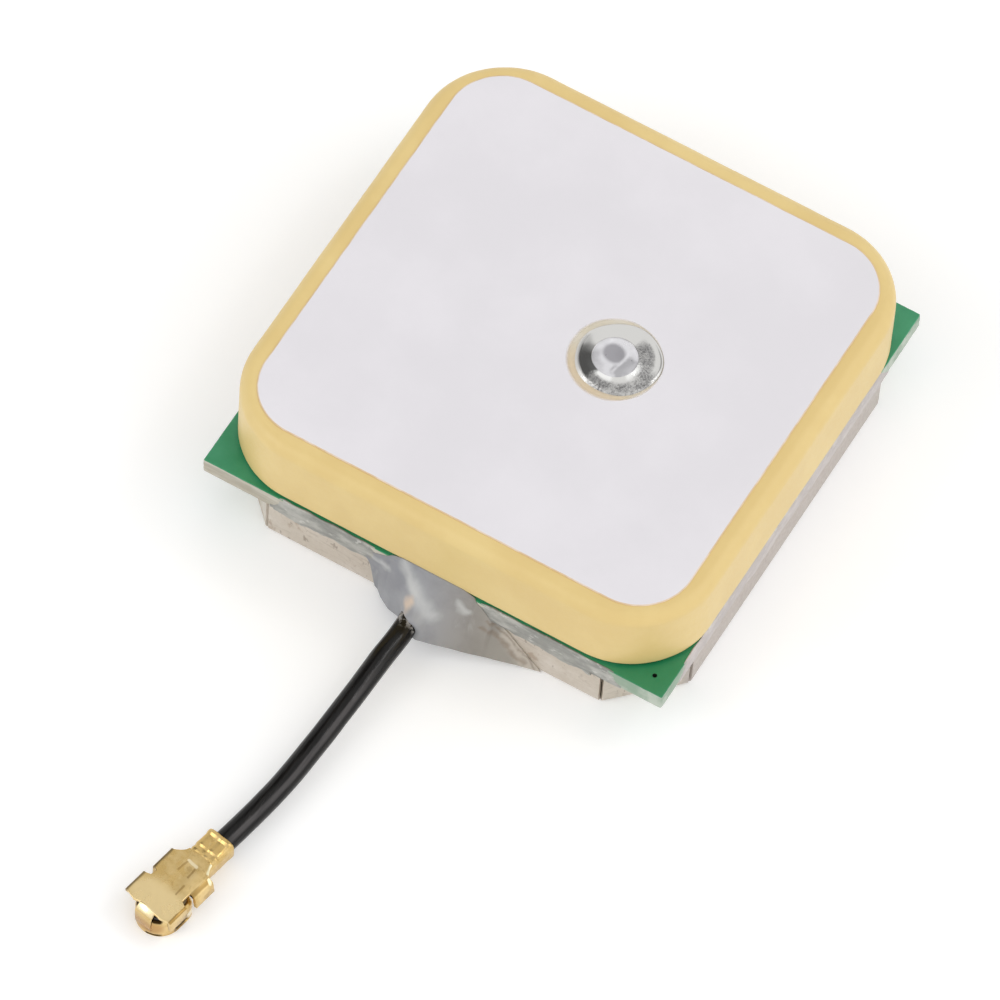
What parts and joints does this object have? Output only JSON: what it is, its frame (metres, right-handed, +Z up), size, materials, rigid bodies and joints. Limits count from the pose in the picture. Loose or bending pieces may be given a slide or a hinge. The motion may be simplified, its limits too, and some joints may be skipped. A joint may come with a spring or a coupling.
{
  "type": "active ceramic patch antenna module",
  "caption": "Square ceramic patch antenna on a green amplifier board with a folded shield can below and a short black coaxial lead ending in a small gilt push-on plug.",
  "frame": {"origin": "middle of the shield can's flat bottom face, on the surface that the module rests on", "axes": "+Z up through the can, the board and the ceramic; the lead leaves the front edge towards -Y; +X along the front edge, with the feed pin on the +X side of the middle"},
  "size_m": [0.025, 0.0466, 0.0084],
  "materials": {
    "ceramic": "satin sintered cream",
    "fired_silver": "matt fired silver",
    "solder": "bright solder",
    "adhesive": "matt",
    "board": "green solder mask",
    "tin_sheet": "dull tin plate",
    "package": "moulded",
    "chip_ceramic": "matt",
    "jacket": "satin black",
    "copper": "bare strands",
    "dielectric": "milky",
    "glue": "cloudy",
    "gilt": "gold flash"
  },
  "bodies": {
    "root": {"ceramic_block": "ceramic", "top_electrode": "fired_silver", "ground_electrode": "fired_silver", "feed_pin": "solder", "feed_solder": "solder", "pin_solder": "solder", "adhesive_pad": "adhesive", "circuit_board": "board", "shield_can": "tin_sheet", "shield_solder": "solder", "saw_filter": "package", "filter_lid": "gilt", "first_amplifier": "package", "second_amplifier": "package", "capacitors": "chip_ceramic", "resistors": "chip_ceramic", "inductors": "chip_ceramic", "coax_jacket": "jacket", "coax_braid": "copper", "coax_dielectric": "dielectric", "coax_core": "copper", "braid_solder": "solder", "core_solder": "solder", "glue_bead": "glue", "plug_shell": "gilt", "plug_insulator": "package", "plug_contact": "gilt"}
  },
  "joints": []
}
